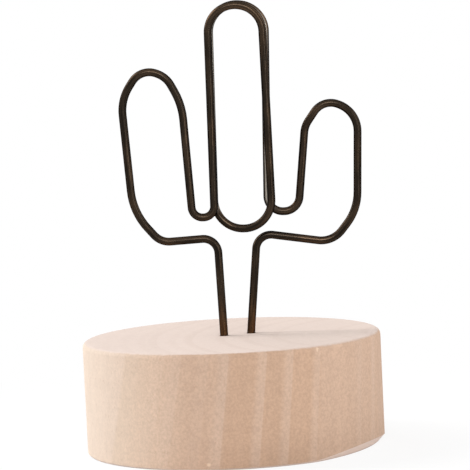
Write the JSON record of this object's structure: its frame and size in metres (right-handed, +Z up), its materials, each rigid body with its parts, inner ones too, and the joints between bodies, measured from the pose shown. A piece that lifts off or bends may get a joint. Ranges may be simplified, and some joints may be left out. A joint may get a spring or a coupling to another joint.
{
  "type": "photo clip stand",
  "caption": "Photo clip stand: one dark wire bent into a cactus outline with a double-turn stem that grips a card, set in a round natural wood block.",
  "frame": {"origin": "centre of the round block's bottom face", "axes": "+Z up along the block's axis, +X to the right as the clip is seen from the front, the clip faces -Y"},
  "size_m": [0.06, 0.06, 0.0895],
  "materials": {
    "wood": "raw pale wood, end grain on top, upright grain on the side",
    "wire": "near-black dark bronze, satin",
    "glue": "clear yellowish set wood glue, hidden in the holes"
  },
  "bodies": {
    "root": {"wooden_base": "wood", "wire_clip": "wire", "left_leg_glue": "glue", "right_leg_glue": "glue"}
  },
  "joints": []
}
